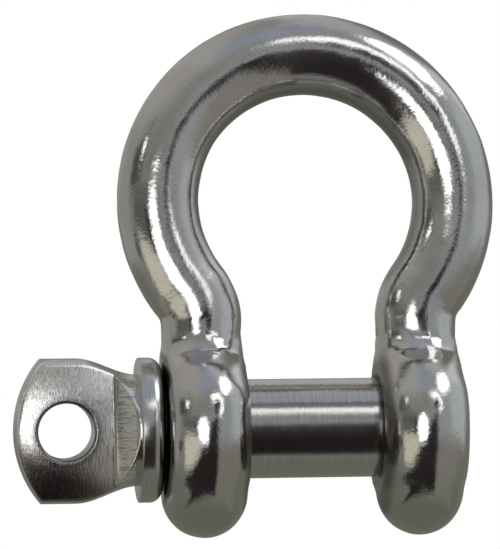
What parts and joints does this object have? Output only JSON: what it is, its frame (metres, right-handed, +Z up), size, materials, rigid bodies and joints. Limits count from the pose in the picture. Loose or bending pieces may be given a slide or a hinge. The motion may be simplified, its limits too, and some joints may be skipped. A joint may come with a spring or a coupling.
{
  "type": "bow shackle",
  "caption": "Bow shackle: a round bar bent to an omega with two ears, closed by a screw pin with a collar and a flat eye head.",
  "frame": {"origin": "on the pin's axis, midway between the two ears, where the thing that the pin holds sits", "axes": "+X along the pin towards the tapped ear, +Y to the back, +Z up to the crown of the bow"},
  "size_m": [0.0593, 0.0236, 0.0641],
  "materials": {
    "polished_steel": "mirror polished over a forged surface, faint ripple",
    "turned_steel": "fine turning marks on the shank, ground flats on the head"
  },
  "bodies": {
    "bow": {"bow": "polished_steel"},
    "screw_pin": {"screw_pin": "turned_steel"}
  },
  "joints": [
    {"name": "pin_withdraw", "type": "slide", "parent": "bow", "child": "screw_pin", "axis": [-1, 0, 0], "range_m": [0, 0.04]}
  ]
}
